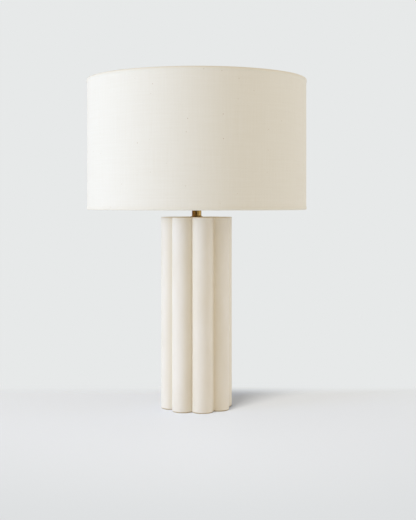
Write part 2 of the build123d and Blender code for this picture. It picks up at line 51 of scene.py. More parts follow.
def linear(code):
    # sRGB hex to the linear colour that the sockets take
    parts = [int(code[i:i + 2], 16) / 255 for i in (1, 3, 5)]
    return [p / 12.92 if p <= 0.04045 else ((p + 0.055) / 1.055) ** 2.4 for p in parts] + [1.0]


def addNode(tree, kind, inputs, stops=(), **settings):
    # settings are the node's own options, inputs are values or the nodes that feed it
    node = tree.nodes.new("ShaderNode" + kind)
    for option, value in settings.items():
        setattr(node, option, value)
    for count, (place, code) in enumerate(stops):
        bands = node.color_ramp.elements
        band = bands[count] if count < len(bands) else bands.new(place)
        band.position, band.color = place, linear(code)
    for socket, value in inputs.items():
        if isinstance(socket, str):
            socket = next(i for i, s in enumerate(node.inputs) if s.name == socket and s.enabled)
        if isinstance(value, bpy.types.Node):
            value = next(out for out in value.outputs if out.enabled)
        if isinstance(value, bpy.types.NodeSocket):
            tree.links.new(value, node.inputs[socket])
        else:
            node.inputs[socket].default_value = value
    return node


def newMaterial(name, sockets):
    material = bpy.data.materials.new(name)
    material.use_nodes = True
    shader = material.node_tree.nodes["Principled BSDF"]
    for socket, value in sockets.items():
        shader.inputs[socket].default_value = value
    return material, material.node_tree, shader


def feed(tree, shader, **outputs):
    for socket, node in outputs.items():
        source = next(out for out in node.outputs if out.enabled)
        tree.links.new(source, shader.inputs[socket.replace("_", " ")])


def dress(material, *names):
    for name in names:
        nodes[name].data.materials.clear()
        nodes[name].data.materials.append(material)


columnLow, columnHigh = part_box("ceramic_column")
glazeLook = {
    "thin": "#F1EBE1", "thick": "#EBE3D5",  # where the glaze ran thin and where it lies thicker
    # the darker tone of the grooves and the top is painted shade, in the grooves partly glaze lying thick;
    # the clay is the bare foot
    "pooled": "#ECE3D1", "clay": "#DACCB1",  # in the grooves and on the top; the bare foot
    "crest": columnHigh.x - 1.5 * mm, "groove": columnHigh.x - 14 * mm,
    "top": columnHigh.z, "topBand": 1.2 * mm, "foot": columnLow.z + 1.2 * mm, "footBand": 0.6 * mm,
    "mottle": 30 * mm, "drawnOut": 0.35,  # clouds in the glaze, longer downwards, the way it runs
    "pinholes": 2.6 * mm, "pinholeDepth": 0.4 * mm, "pinholeStrength": 0.05,
    "rough": 0.5, "smooth": 0.4,
}


def creamGlaze():
    # satin stoneware glaze, slip cast and fired: a soft broad sheen and a faintly cloudy cream;
    # warmer and darker in the grooves, partly glaze lying thick and partly painted shade, and on the flat
    # top, painted shade
    material, tree, shader = newMaterial("satinGlazedStoneware", {"IOR": 1.5, "Roughness": 0.46})
    place = addNode(tree, "TexCoord", {}).outputs["Object"]
    run = addNode(tree, "Mapping", {"Vector": place, "Scale": (1, 1, glazeLook["drawnOut"])})
    cloud = addNode(tree, "TexNoise", {"Vector": run, "Scale": 1 / glazeLook["mottle"], "Detail": 4})
    tone = addNode(
        tree, "ValToRGB", {"Fac": cloud},
        stops=((0.3, glazeLook["thick"]), (0.7, glazeLook["thin"])),
    )
    level = addNode(tree, "VectorMath", {0: place, 1: (1, 1, 0)}, operation="MULTIPLY")
    outwards = addNode(tree, "VectorMath", {0: level}, operation="LENGTH")
    # the grooves and the shaded sides of the lobes darken towards the groove: partly glaze lying thick,
    # partly painted shade
    inGroove = addNode(
        tree, "MapRange",
        {"Value": outwards.outputs["Value"], "From Min": glazeLook["crest"], "From Max": glazeLook["groove"]},
    )
    height = addNode(tree, "SeparateXYZ", {"Vector": place}).outputs["Z"]
    # the flat top darkens: painted shade of the lamp shade over it
    onTop = addNode(
        tree, "MapRange",
        {"Value": height, "From Min": glazeLook["top"] - glazeLook["topBand"], "From Max": glazeLook["top"]},
    )
    pool = addNode(tree, "Math", {0: inGroove, 1: onTop}, operation="MAXIMUM")
    pooled = addNode(
        tree, "Mix", {"Factor": pool, "A": tone, "B": linear(glazeLook["pooled"])}, data_type="RGBA",
    )
    fine = addNode(tree, "TexNoise", {"Vector": place, "Scale": 1 / glazeLook["pinholes"], "Detail": 2})
    wander = addNode(tree, "Math", {0: fine, 1: glazeLook["footBand"], 2: height}, operation="MULTIPLY_ADD")
    footEnd = glazeLook["foot"] + glazeLook["footBand"]
    wiped = addNode(tree, "MapRange", {"Value": wander, "From Min": footEnd, "From Max": glazeLook["foot"]})
    skinTone = addNode(
        tree, "Mix", {"Factor": wiped, "A": pooled, "B": linear(glazeLook["clay"])}, data_type="RGBA",
    )
    sheen = addNode(
        tree, "MapRange", {"Value": cloud, "To Min": glazeLook["rough"], "To Max": glazeLook["smooth"]},
    )
    skin = addNode(
        tree, "Bump",
        {"Height": fine, "Strength": glazeLook["pinholeStrength"], "Distance": glazeLook["pinholeDepth"]},
    )
    feed(tree, shader, Base_Color=skinTone, Roughness=sheen, Normal=skin)
    return material


shadeLow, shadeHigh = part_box("shade_fabric")
linenLook = {
    "light": "#EFEBE2", "dark": "#EBE6DB", "fleck": "#A98A62",
    "lapLight": "#EBE6DA", "lapDark": "#E6DFD2",  # doubled at the seam, so less white film shows through
    "rim": "#EAE4D6", "rimWidth": 5.5 * mm,  # the fold over the rims is doubled; its darkening towards the edge is painted shade of the rolled rim
    "middle": (shadeLow.z + shadeHigh.z) / 2, "half": (shadeHigh.z - shadeLow.z) / 2,
    "thread": 1.3 * mm,  # real threads lie 0.5 mm apart; drawn coarser so that they show
    "wander": 1.2, "wanderScale": 0.35,  # how far the threads stray from straight
    "slub": 3 * mm, "slubLength": 80 * mm,  # real slubs are 1 mm thick; drawn coarser so that they show
    "slubShift": 7,  # keeps the slubs of the two ways of thread apart
    "threadShare": 0.16,  # relief of the threads against that of the slubs
    "darkDepth": 0.75, "lightDepth": 1.6,  # relief that takes the dark tone and the light one
    "relief": 0.35 * mm, "reliefStrength": 0.25,
    "fleckGap": 30 * mm, "fleckSize": 2.0 * mm,
    "fleckFrom": 0.72, "fleckStrength": 0.6,  # share of the places without a fleck, and the strongest fleck
}


def wovenLinen(name, light, dark, rim):
    # undyed linen, plain weave: matt, with thick and thin threads both ways and a few brown flecks of straw
    material, tree, shader = newMaterial(
        name, {"Roughness": 0.88, "Specular IOR Level": 0.25, "Sheen Weight": 0.12},
    )
    place = addNode(tree, "UVMap", {}, uv_map="weave")
    slubs = []
    threads = []
    for along, across in ((0, 1), (1, 0)):
        stretch = [1 / linenLook["slub"]] * 3
        stretch[along] = 1 / linenLook["slubLength"]
        apart = (along * linenLook["slubShift"], 0, 0)
        lie = addNode(tree, "Mapping", {"Vector": place, "Scale": stretch, "Location": apart})
        slubs.append(addNode(tree, "TexNoise", {"Vector": lie, "Scale": 1, "Detail": 3, "Roughness": 0.6}))
        threads.append(
            addNode(
                tree, "TexWave",
                {
                    "Vector": place, "Scale": waveUnit / linenLook["thread"], "Detail": 2,
                    "Distortion": linenLook["wander"], "Detail Scale": linenLook["wanderScale"],
                },
                bands_direction="XY"[across],
            )
        )
    slub = addNode(tree, "Math", {0: slubs[0], 1: slubs[1]}, operation="ADD")
    weave = addNode(tree, "Math", {0: threads[0], 1: threads[1]}, operation="ADD")
    depth = addNode(tree, "Math", {0: weave, 1: linenLook["threadShare"], 2: slub}, operation="MULTIPLY_ADD")
    tone = addNode(
        tree, "MapRange",
        {"Value": depth, "From Min": linenLook["darkDepth"], "From Max": linenLook["lightDepth"]},
    )
    cloth = addNode(tree, "ValToRGB", {"Fac": tone}, stops=((0, dark), (1, light)))
    dots = addNode(
        tree, "TexVoronoi", {"Vector": place, "Scale": 1 / linenLook["fleckGap"], "Randomness": 1},
        voronoi_dimensions="2D",
    )
    dotEdge = linenLook["fleckSize"] / linenLook["fleckGap"] / 2
    dot = addNode(
        tree, "MapRange", {"Value": dots.outputs["Distance"], "From Min": dotEdge, "From Max": dotEdge / 2},
    )
    keep = addNode(tree, "SeparateColor", {"Color": dots.outputs["Color"]})
    some = addNode(
        tree, "MapRange",
        {
            "Value": keep.outputs["Red"],
            "From Min": linenLook["fleckFrom"], "From Max": 1, "To Max": linenLook["fleckStrength"],
        },
    )
    fleck = addNode(tree, "Math", {0: dot, 1: some}, operation="MULTIPLY")
    mix = addNode(
        tree, "Mix", {"Factor": fleck, "A": cloth, "B": linear(linenLook["fleck"])}, data_type="RGBA",
    )
    # painted shade: the hems darken towards the edge of each rim
    if rim:
        solid = addNode(tree, "TexCoord", {}).outputs["Object"]
        height = addNode(tree, "SeparateXYZ", {"Vector": solid}).outputs["Z"]
        fromMiddle = addNode(tree, "Math", {0: height, 1: linenLook["middle"]}, operation="SUBTRACT")
        upOrDown = addNode(tree, "Math", {0: fromMiddle}, operation="ABSOLUTE")
        rimStart = linenLook["half"] - linenLook["rimWidth"]
        edge = addNode(
            tree, "MapRange", {"Value": upOrDown, "From Min": rimStart, "From Max": linenLook["half"]},
        )
        mix = addNode(
            tree, "Mix", {"Factor": edge, "A": mix, "B": linear(linenLook["rim"])}, data_type="RGBA",
        )
    skin = addNode(
        tree, "Bump",
        {"Height": depth, "Strength": linenLook["reliefStrength"], "Distance": linenLook["relief"]},
    )
    feed(tree, shader, Base_Color=mix, Normal=skin)
    return material


brassLook = {
    "bright": "#A8894F", "dull": "#8F6D3A", "patina": 9 * mm,
    # lathe lines; the real ones are finer, drawn coarser so that they show
    "turning": 0.9 * mm, "turningDepth": 0.05 * mm,
    "rough": 0.17, "smooth": 0.09,
}


def turnedBrass():
    # turned brass under lacquer, gone brown in patches: warm, with fine lathe lines round it
    material, tree, shader = newMaterial("lacqueredTurnedBrass", {"Metallic": 1, "Roughness": 0.12})
    place = addNode(tree, "TexCoord", {}).outputs["Object"]
    patch = addNode(tree, "TexNoise", {"Vector": place, "Scale": 1 / brassLook["patina"], "Detail": 5})
    tone = addNode(
        tree, "ValToRGB", {"Fac": patch}, stops=((0.35, brassLook["dull"]), (0.68, brassLook["bright"])),
    )
    lines = addNode(
        tree, "TexWave",
        {"Vector": place, "Scale": waveUnit / brassLook["turning"], "Distortion": 2, "Detail": 2},
        bands_direction="Z",
    )
    gloss = addNode(
        tree, "MapRange", {"Value": patch, "To Min": brassLook["rough"], "To Max": brassLook["smooth"]},
    )
    skin = addNode(
        tree, "Bump", {"Height": lines, "Strength": 0.08, "Distance": brassLook["turningDepth"]},
    )
    feed(tree, shader, Base_Color=tone, Roughness=gloss, Normal=skin)
    return material


sheetBrassLook = {
    "bright": "#D2B477", "dull": "#A98748", "smudge": 14 * mm, "duller": 0.1, "shinier": 0.06,
    # lines of the draw, many times longer than wide; the real ones are finer, drawn coarser so that they show
    "draw": 0.7 * mm, "drawnOut": 0.02, "drawDepth": 0.05 * mm,
}


def drawnBrass(name, bright, dull, roughness):
    # brass sheet drawn in a press: bright, with faint lines along the draw and dull finger marks
    material, tree, shader = newMaterial(name, {"Metallic": 1, "Roughness": roughness})
    place = addNode(tree, "TexCoord", {}).outputs["Object"]
    smudge = addNode(tree, "TexNoise", {"Vector": place, "Scale": 1 / sheetBrassLook["smudge"], "Detail": 4})
    tone = addNode(tree, "ValToRGB", {"Fac": smudge}, stops=((0.35, dull), (0.65, bright)))
    along = addNode(tree, "Mapping", {"Vector": place, "Scale": (1, 1, sheetBrassLook["drawnOut"])})
    draw = addNode(tree, "TexNoise", {"Vector": along, "Scale": 1 / sheetBrassLook["draw"], "Detail": 2})
    dullest = roughness + sheetBrassLook["duller"]
    shiniest = roughness - sheetBrassLook["shinier"]
    gloss = addNode(tree, "MapRange", {"Value": smudge, "To Min": dullest, "To Max": shiniest})
    skin = addNode(
        tree, "Bump", {"Height": draw, "Strength": 0.12, "Distance": sheetBrassLook["drawDepth"]},
    )
    feed(tree, shader, Base_Color=tone, Roughness=gloss, Normal=skin)
    return material


zincLook = {"pale": "#B9BABB", "grey": "#8E8F90", "spangle": 7 * mm, "smooth": 0.3, "rough": 0.48}


def zincSteel():
    # zinc plated steel: grey crystals of plating that catch the light differently
    material, tree, shader = newMaterial("zincPlatedSteel", {"Metallic": 1, "Roughness": 0.38})
    place = addNode(tree, "TexCoord", {}).outputs["Object"]
    spangle = addNode(tree, "TexVoronoi", {"Vector": place, "Scale": 1 / zincLook["spangle"]})
    crystal = addNode(tree, "SeparateColor", {"Color": spangle.outputs["Color"]})
    tone = addNode(
        tree, "ValToRGB", {"Fac": crystal.outputs["Red"]},
        stops=((0, zincLook["grey"]), (1, zincLook["pale"])),
    )
    gloss = addNode(
        tree, "MapRange",
        {"Value": crystal.outputs["Green"], "To Min": zincLook["smooth"], "To Max": zincLook["rough"]},
    )
    feed(tree, shader, Base_Color=tone, Roughness=gloss)
    return material


plasticLook = {"flow": 12 * mm, "grainDepth": 0.05 * mm, "duller": 0.08, "shinier": 0.06}


def mouldedPlastic(name, dark, light, roughness, grain):
    # moulded plastic: even colour, slight flow marks and a fine texture from the mould
    material, tree, shader = newMaterial(name, {"IOR": 1.58, "Roughness": roughness})
    place = addNode(tree, "TexCoord", {}).outputs["Object"]
    flow = addNode(
        tree, "TexNoise", {"Vector": place, "Scale": 1 / plasticLook["flow"], "Detail": 4, "Distortion": 1},
    )
    tone = addNode(tree, "ValToRGB", {"Fac": flow}, stops=((0.3, dark), (0.7, light)))
    fine = addNode(tree, "TexNoise", {"Vector": place, "Scale": 1 / grain, "Detail": 2})
    dullest = roughness + plasticLook["duller"]
    shiniest = roughness - plasticLook["shinier"]
    gloss = addNode(tree, "MapRange", {"Value": flow, "To Min": dullest, "To Max": shiniest})
    skin = addNode(
        tree, "Bump", {"Height": fine, "Strength": 0.15, "Distance": plasticLook["grainDepth"]},
    )
    feed(tree, shader, Base_Color=tone, Roughness=gloss, Normal=skin)
    return material


boardLook = {
    "light": "#8C6E4C", "dark": "#6A5036",
    # fibres lie upright; the real ones are finer, drawn coarser so that they show
    "fibre": 0.8 * mm, "drawnOut": 0.2, "relief": 0.05 * mm,
}


def fibreBoard():
    # varnished pressboard: brown paper fibres under a thin shine
    material, tree, shader = newMaterial("varnishedFibreBoard", {"Roughness": 0.5, "Coat Weight": 0.2})
    place = addNode(tree, "TexCoord", {}).outputs["Object"]
    lie = addNode(tree, "Mapping", {"Vector": place, "Scale": (1, 1, boardLook["drawnOut"])})
    fibre = addNode(tree, "TexNoise", {"Vector": lie, "Scale": 1 / boardLook["fibre"], "Detail": 4})
    tone = addNode(
        tree, "ValToRGB", {"Fac": fibre}, stops=((0.35, boardLook["dark"]), (0.65, boardLook["light"])),
    )
    skin = addNode(tree, "Bump", {"Height": fibre, "Strength": 0.2, "Distance": boardLook["relief"]})
    feed(tree, shader, Base_Color=tone, Normal=skin)
    return material


glassLook = {"milky": "#EEEDE9", "pale": "#F7F6F2", "etch": 18 * mm}


def frostedGlass():
    # soda glass etched inside: milky white, with a clear hard shine on the outside
    material, tree, shader = newMaterial(
        "insideFrostedGlass",
        {
            "IOR": 1.52, "Roughness": 0.42, "Transmission Weight": 0.2,
            "Coat Weight": 1.0, "Coat Roughness": 0.04,
        },
    )
    place = addNode(tree, "TexCoord", {}).outputs["Object"]
    etch = addNode(tree, "TexNoise", {"Vector": place, "Scale": 1 / glassLook["etch"], "Detail": 3})
    tone = addNode(
        tree, "ValToRGB", {"Fac": etch}, stops=((0.3, glassLook["milky"]), (0.7, glassLook["pale"])),
    )
    feed(tree, shader, Base_Color=tone)
    return material


nickelLook = {"dull": "#A9A59C", "bright": "#CFCBC2", "scuff": 3 * mm, "rough": 0.38, "smooth": 0.2}


def nickelPlate():
    # nickel on thin brass, rolled: pale warm grey, slightly scuffed by the socket
    material, tree, shader = newMaterial("nickelPlatedBrass", {"Metallic": 1, "Roughness": 0.26})
    place = addNode(tree, "TexCoord", {}).outputs["Object"]
    scuff = addNode(tree, "TexNoise", {"Vector": place, "Scale": 1 / nickelLook["scuff"], "Detail": 5})
    tone = addNode(
        tree, "ValToRGB", {"Fac": scuff}, stops=((0.35, nickelLook["dull"]), (0.65, nickelLook["bright"])),
    )
    gloss = addNode(
        tree, "MapRange", {"Value": scuff, "To Min": nickelLook["rough"], "To Max": nickelLook["smooth"]},
    )
    feed(tree, shader, Base_Color=tone, Roughness=gloss)
    return material


filmLook = {"dark": "#EBE2CF", "light": "#F2EAD9", "streak": 6 * mm, "drawnOut": 0.15, "relief": 0.2 * mm}


def styreneFilm():
    # extruded styrene sheet behind the linen: warm white with a dull waxy sheen
    material, tree, shader = newMaterial("extrudedStyreneFilm", {"IOR": 1.59, "Roughness": 0.4})
    place = addNode(tree, "TexCoord", {}).outputs["Object"]
    lie = addNode(tree, "Mapping", {"Vector": place, "Scale": (1, 1, filmLook["drawnOut"])})
    drawn = addNode(tree, "TexNoise", {"Vector": lie, "Scale": 1 / filmLook["streak"], "Detail": 3})
    tone = addNode(
        tree, "ValToRGB", {"Fac": drawn}, stops=((0.3, filmLook["dark"]), (0.7, filmLook["light"])),
    )
    skin = addNode(tree, "Bump", {"Height": drawn, "Strength": 0.06, "Distance": filmLook["relief"]})
    feed(tree, shader, Base_Color=tone, Normal=skin)
    return material


powderLook = {"dark": "#DEDAD0", "light": "#E9E6DE", "cloud": 25 * mm, "peel": 1.2 * mm, "relief": 0.1 * mm}


def powderCoat():
    # white powder coat baked on wire: an even satin white with a fine orange peel
    material, tree, shader = newMaterial("whitePowderCoat", {"Roughness": 0.42})
    place = addNode(tree, "TexCoord", {}).outputs["Object"]
    peel = addNode(tree, "TexNoise", {"Vector": place, "Scale": 1 / powderLook["peel"], "Detail": 2})
    cloud = addNode(tree, "TexNoise", {"Vector": place, "Scale": 1 / powderLook["cloud"], "Detail": 3})
    tone = addNode(
        tree, "ValToRGB", {"Fac": cloud}, stops=((0.3, powderLook["dark"]), (0.7, powderLook["light"])),
    )
    skin = addNode(tree, "Bump", {"Height": peel, "Strength": 0.15, "Distance": powderLook["relief"]})
    feed(tree, shader, Base_Color=tone, Normal=skin)
    return material


feltLook = {
    "light": "#C2AE8D", "dark": "#998462",
    "fibre": 1.2 * mm, "relief": 0.2 * mm,  # real fibres are finer; drawn coarser so that they show
}


def pressedFelt():
    # pressed wool felt: matt and hairy, flecked by its fibres
    material, tree, shader = newMaterial(
        "pressedWoolFelt", {"Roughness": 0.95, "Specular IOR Level": 0.1, "Sheen Weight": 0.3},
    )
    place = addNode(tree, "TexCoord", {}).outputs["Object"]
    fibre = addNode(
        tree, "TexNoise", {"Vector": place, "Scale": 1 / feltLook["fibre"], "Detail": 5, "Distortion": 2},
    )
    tone = addNode(
        tree, "ValToRGB", {"Fac": fibre}, stops=((0.35, feltLook["dark"]), (0.65, feltLook["light"])),
    )
    skin = addNode(tree, "Bump", {"Height": fibre, "Strength": 0.6, "Distance": feltLook["relief"]})
    feed(tree, shader, Base_Color=tone, Normal=skin)
    return material


glaze = creamGlaze()
linen = wovenLinen("plainWeaveLinen", linenLook["light"], linenLook["dark"], rim=False)
hemLinen = wovenLinen("foldedLinenHem", linenLook["light"], linenLook["dark"], rim=True)
lapLinen = wovenLinen("doubledLinenSeam", linenLook["lapLight"], linenLook["lapDark"], rim=False)
brass = turnedBrass()
sheetBrass = drawnBrass("drawnBrassSheet", sheetBrassLook["bright"], sheetBrassLook["dull"], roughness=0.26)
platedBrass = drawnBrass("brassPlatedSteel", "#C4A468", "#99783F", roughness=0.3)
contactBrass = drawnBrass("brightContactBrass", "#DDBF80", "#BB9856", roughness=0.2)
zinc = zincSteel()
phenolic = mouldedPlastic("mouldedPhenolic", "#191614", "#26211D", roughness=0.32, grain=0.8 * mm)
nylon = mouldedPlastic("mouldedBrownNylon", "#43352A", "#54442F", roughness=0.42, grain=0.6 * mm)
board = fibreBoard()
glass = frostedGlass()
nickel = nickelPlate()
film = styreneFilm()
powder = powderCoat()
felt = pressedFelt()

dress(glaze, "ceramic_column")
dress(zinc, "bottom_plate", "bottom_washer", "bottom_nut", "lamp_pipe", "set_screw", "switch_shaft")
dress(nylon, "cord_bushing")
dress(brass, "seat_ring", "neck", "finial")
dress(platedBrass, "harp_saddle", "harp_wire", "harp_stud", "harp_sleeve_left", "harp_sleeve_right")
dress(sheetBrass, "socket_cap", "socket_shell")
dress(board, "socket_liner")
dress(phenolic, "socket_core", "switch_knob", "bulb_insulator")
dress(contactBrass, "screw_shell", "centre_contact", "terminal_screws", "bulb_contact")
dress(glass, "bulb_glass")
dress(nickel, "bulb_cap")
dress(film, "shade_liner")
dress(powder, "top_ring", "bottom_ring", "spider_hub")
dress(powder, "spider_arm_back", "spider_arm_left", "spider_arm_right")
print("materials on the CAD nodes")


def lathe(name, outline, steps, start=0, sweep=tau):
    # outline is a closed run of (radius, height) points, spun round the lamp's axis,
    # all the way or clockwise from start
    bpy.ops.object.select_all(action="DESELECT")
    bpy.ops.mesh.primitive_plane_add(size=mm)
    piece = bpy.context.object
    piece.name = name
    bpy.ops.object.mode_set(mode="EDIT")
    bpy.ops.mesh.select_mode(type="VERT")
    bpy.ops.mesh.select_all(action="SELECT")
    bpy.ops.mesh.merge(type="CENTER")  # one point to draw from
    at = (0, 0)
    for radius, height in outline:
        outwards = radius - at[0]
        step = {"value": (outwards * cos(start), outwards * sin(start), height - at[1])}
        if at == (0, 0):
            bpy.ops.transform.translate(**step)
        else:
            bpy.ops.mesh.extrude_vertices_move(TRANSFORM_OT_translate=step)
        at = (radius, height)
    bpy.ops.mesh.select_all(action="SELECT")
    bpy.ops.mesh.spin(steps=steps, angle=sweep, center=(0, 0, 0), axis=(0, 0, 1))
    bpy.ops.mesh.select_all(action="SELECT")
    bpy.ops.mesh.remove_doubles(threshold=mergeGap)
    bpy.ops.mesh.fill_holes(sides=0)
    bpy.ops.mesh.normals_make_consistent(inside=False)
    bpy.ops.object.mode_set(mode="OBJECT")
    return piece


def layWeave(piece, shift=(0, 0)):
    # threads run round the drum and up it, and carry on over the rims; shift starts another part of the cloth
    mesh = piece.data
    while mesh.uv_layers:
        mesh.uv_layers.remove(mesh.uv_layers[0])
    threads = mesh.uv_layers.new(name="weave").data
    for face in mesh.polygons:
        middle = atan2(face.center.x, -face.center.y)
        for loop in face.loop_indices:
            corner = mesh.vertices[mesh.loops[loop].vertex_index].co
            turn = atan2(corner.x, -corner.y)
            turn += tau * round((middle - turn) / tau)
            radius = hypot(corner.x, corner.y)
            across = turn * drum["radius"] + shift[0]
            upwards = corner.z + drum["radius"] - radius + shift[1]
            threads[loop].uv = (across, upwards)


def finishPiece(piece, material, angle=35):
    piece.data.materials.clear()
    piece.data.materials.append(material)
    bpy.ops.object.select_all(action="DESELECT")
    piece.select_set(True)
    bpy.context.view_layer.objects.active = piece
    bpy.ops.object.shade_smooth_by_angle(angle=radians(angle))


def applyModifier(piece, kind, **settings):
    bpy.context.view_layer.objects.active = piece
    modifier = piece.modifiers.new(kind.lower(), kind)
    for option, value in settings.items():
        setattr(modifier, option, value)
    bpy.ops.object.modifier_apply(modifier=modifier.name)


# Linen drum, its edges tucked under the hems
tuck = 1.6 * mm
drum = {
    "radius": shadeHigh.x, "bottom": shadeLow.z + tuck, "top": shadeHigh.z - tuck,
    "panels": 240, "rows": 40,
    "cloth": 0.6 * mm,
    "ease": 0.25 * mm, "easeSize": 70 * mm,  # how far the glued cloth lies uneven
}
drumHeight = drum["top"] - drum["bottom"]
bpy.ops.object.select_all(action="DESELECT")
bpy.ops.mesh.primitive_cylinder_add(
    vertices=drum["panels"], radius=drum["radius"] - drum["ease"], depth=drumHeight, end_fill_type="NOTHING",
    location=(0, 0, (drum["top"] + drum["bottom"]) / 2),
)
linenDrum = bpy.context.object
linenDrum.name = "linenDrum"
bpy.ops.object.transform_apply(location=True, rotation=True, scale=True)
bpy.ops.object.mode_set(mode="EDIT")
bpy.ops.mesh.select_mode(type="EDGE")
bpy.ops.mesh.select_all(action="DESELECT")
bpy.ops.object.mode_set(mode="OBJECT")
for edge in linenDrum.data.edges:
    low, high = (linenDrum.data.vertices[i].co.z for i in edge.vertices)
    edge.select = abs(high - low) > drumHeight / 2
bpy.ops.object.mode_set(mode="EDIT")
bpy.ops.mesh.subdivide(number_cuts=drum["rows"] - 1)
bpy.ops.mesh.select_all(action="DESELECT")
bpy.ops.object.mode_set(mode="OBJECT")
print("drum faces", len(linenDrum.data.polygons))

unevenCloth = bpy.data.textures.new("unevenCloth", "CLOUDS")
unevenCloth.noise_scale = drum["easeSize"]
unevenCloth.noise_depth = 1
applyModifier(
    linenDrum, "DISPLACE", texture=unevenCloth, texture_coords="LOCAL", strength=drum["ease"], mid_level=0.5,
)
applyModifier(linenDrum, "SOLIDIFY", thickness=drum["cloth"], offset=-1)
layWeave(linenDrum)
finishPiece(linenDrum, linen)

# Hems, folded over both rims
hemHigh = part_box("top_trim")[1]
hem = {
    "outer": hemHigh.x, "inner": hemHigh.x - 6.3 * mm, "width": 5.5 * mm, "lip": 2.0 * mm,
    "crown": 3.6 * mm, "round": 2.6,  # height of the roll, and how full it is: 2 is half an ellipse
    "cloth": 0.5 * mm, "grip": 1.1 * mm, "arcPoints": 13, "steps": 240, "smooth": 50,
}


def hemOutline(rim, inward):
    # rolled over the rim, with a straight fall outside and a short lip inside
    middle = (hem["outer"] + hem["inner"]) / 2
    half = (hem["outer"] - hem["inner"]) / 2
    thin = half - hem["cloth"]
    hollow = hem["crown"] - hem["cloth"]
    fall = rim + inward * hem["width"]
    tip = rim + inward * (hem["crown"] + hem["lip"])
    outside = []
    inside = []
    for count in range(hem["arcPoints"]):
        turn = pi * count / (hem["arcPoints"] - 1)
        across = abs(cos(turn)) ** (2 / hem["round"]) * (1 if cos(turn) > 0 else -1)
        rise = abs(sin(turn)) ** (2 / hem["round"])
        outside.append((middle + half * across, rim + inward * hem["crown"] * (1 - rise)))
        inside.append((middle + thin * across, rim + inward * (hem["crown"] - hollow * rise)))
    start = [(hem["outer"] - hem["grip"], fall), (hem["outer"], fall)]
    end = [(hem["inner"], tip), (hem["inner"] + hem["cloth"], tip)]
    loop = start + outside + end + inside[::-1]
    return loop + loop[:1]


topHem = lathe("topHem", hemOutline(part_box("top_trim")[1].z, -1), hem["steps"])
bottomHem = lathe("bottomHem", hemOutline(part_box("bottom_trim")[0].z, 1), hem["steps"])
for piece in (topHem, bottomHem):
    layWeave(piece)
    finishPiece(piece, hemLinen, hem["smooth"])

# Lap seam down the back: the cut edge stands proud on one side, the other side runs into the drum
seam = {
    "lap": 13 * mm, "cloth": 0.9 * mm, "proud": 0.4 * mm, "fold": 0.25 * mm, "end": 1 * mm,
    "film": 0.6 * mm, "filmSunk": 0.2 * mm, "filmEnd": 6 * mm, "liner": 0.8 * mm,
    "edge": 0.48,  # share of the lap from its middle, past which a corner is on its edge
    "steps": 6, "shift": (0.47, 0.31),
}
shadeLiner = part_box("shade_liner")[1].x - seam["liner"]  # inner face of the liner


def lapSeam(name, inner, outer, low, high, flush):
    outline = [(inner, low), (outer, low), (outer, high), (inner, high), (inner, low)]
    sweep = seam["lap"] / outer
    piece = lathe(name, outline, seam["steps"], start=pi / 2 + sweep / 2, sweep=sweep)
    bpy.ops.object.mode_set(mode="EDIT")
    bpy.ops.mesh.select_all(action="DESELECT")
    bpy.ops.object.mode_set(mode="OBJECT")
    for corner in piece.data.vertices:
        corner.select = corner.co.x * flush > seam["edge"] * seam["lap"]
    sink = (outer - inner) * (-1 if inner > shadeLiner else 1)
    bpy.ops.object.mode_set(mode="EDIT")
    bpy.ops.transform.translate(value=(0, sink, 0))
    bpy.ops.object.mode_set(mode="OBJECT")
    applyModifier(
        piece, "BEVEL", width=seam["fold"], segments=2, limit_method="ANGLE", angle_limit=sharpEdge,
    )
    return piece


linenLap = lapSeam(
    "linenLap", drum["radius"] - seam["cloth"], drum["radius"] + seam["proud"],
    drum["bottom"] + seam["end"], drum["top"] - seam["end"], flush=1,
)
layWeave(linenLap, seam["shift"])
finishPiece(linenLap, lapLinen)
filmLap = lapSeam(
    "filmLap", shadeLiner - seam["film"], shadeLiner + seam["filmSunk"],
    drum["bottom"] + seam["filmEnd"], drum["top"] - seam["filmEnd"], flush=-1,
)
finishPiece(filmLap, film)
print("shade dressed")

# Weld beads of the spider: one for the hub and one for the ring, then each copied to the other two arms
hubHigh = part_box("spider_hub")[1]
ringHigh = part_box("top_ring")[1]
weld = {
    "size": 2.0 * mm, "long": 1.25, "flat": 0.9, "lumps": 1.6 * mm, "lumpDepth": 0.5 * mm,
    "arms": 3, "detail": 4, "smooth": 60,
    "hub": (0, hubHigh.x + 0.5 * mm, hubHigh.z - 1.5 * mm),
    "ring": (0, ringHigh.x - 3.1 * mm, ringHigh.z - 3.6 * mm),
}
lumps = bpy.data.textures.new("weldLumps", "CLOUDS")
lumps.noise_scale = weld["lumps"]
weldBeads = []
for end in ("hub", "ring"):
    bpy.ops.object.select_all(action="DESELECT")
    bpy.ops.mesh.primitive_ico_sphere_add(
        subdivisions=weld["detail"], radius=weld["size"], location=weld[end],
    )
    bead = bpy.context.object
    bead.name = end + "Weld1"
    bpy.ops.object.mode_set(mode="EDIT")
    bpy.ops.mesh.select_all(action="SELECT")
    bpy.ops.transform.resize(value=(1, weld["long"], weld["flat"]), center_override=weld[end])
    bpy.ops.object.mode_set(mode="OBJECT")
    bpy.ops.object.transform_apply(location=True, rotation=True, scale=True)
    applyModifier(
        bead, "DISPLACE", texture=lumps, texture_coords="LOCAL", strength=weld["lumpDepth"], mid_level=0.5,
    )
    finishPiece(bead, powder, weld["smooth"])
    weldBeads.append(bead)
    for arm in range(1, weld["arms"]):
        twin = bead.copy()
        twin.data = bead.data.copy()
        twin.name = end + "Weld" + str(arm + 1)
        bpy.context.scene.collection.objects.link(twin)
        bpy.ops.object.select_all(action="DESELECT")
        twin.select_set(True)
        bpy.context.view_layer.objects.active = twin
        bpy.ops.object.mode_set(mode="EDIT")
        bpy.ops.mesh.select_all(action="SELECT")
        bpy.ops.transform.rotate(value=tau * arm / weld["arms"], orient_axis="Z", center_override=(0, 0, 0))
        bpy.ops.object.mode_set(mode="OBJECT")
        weldBeads.append(twin)

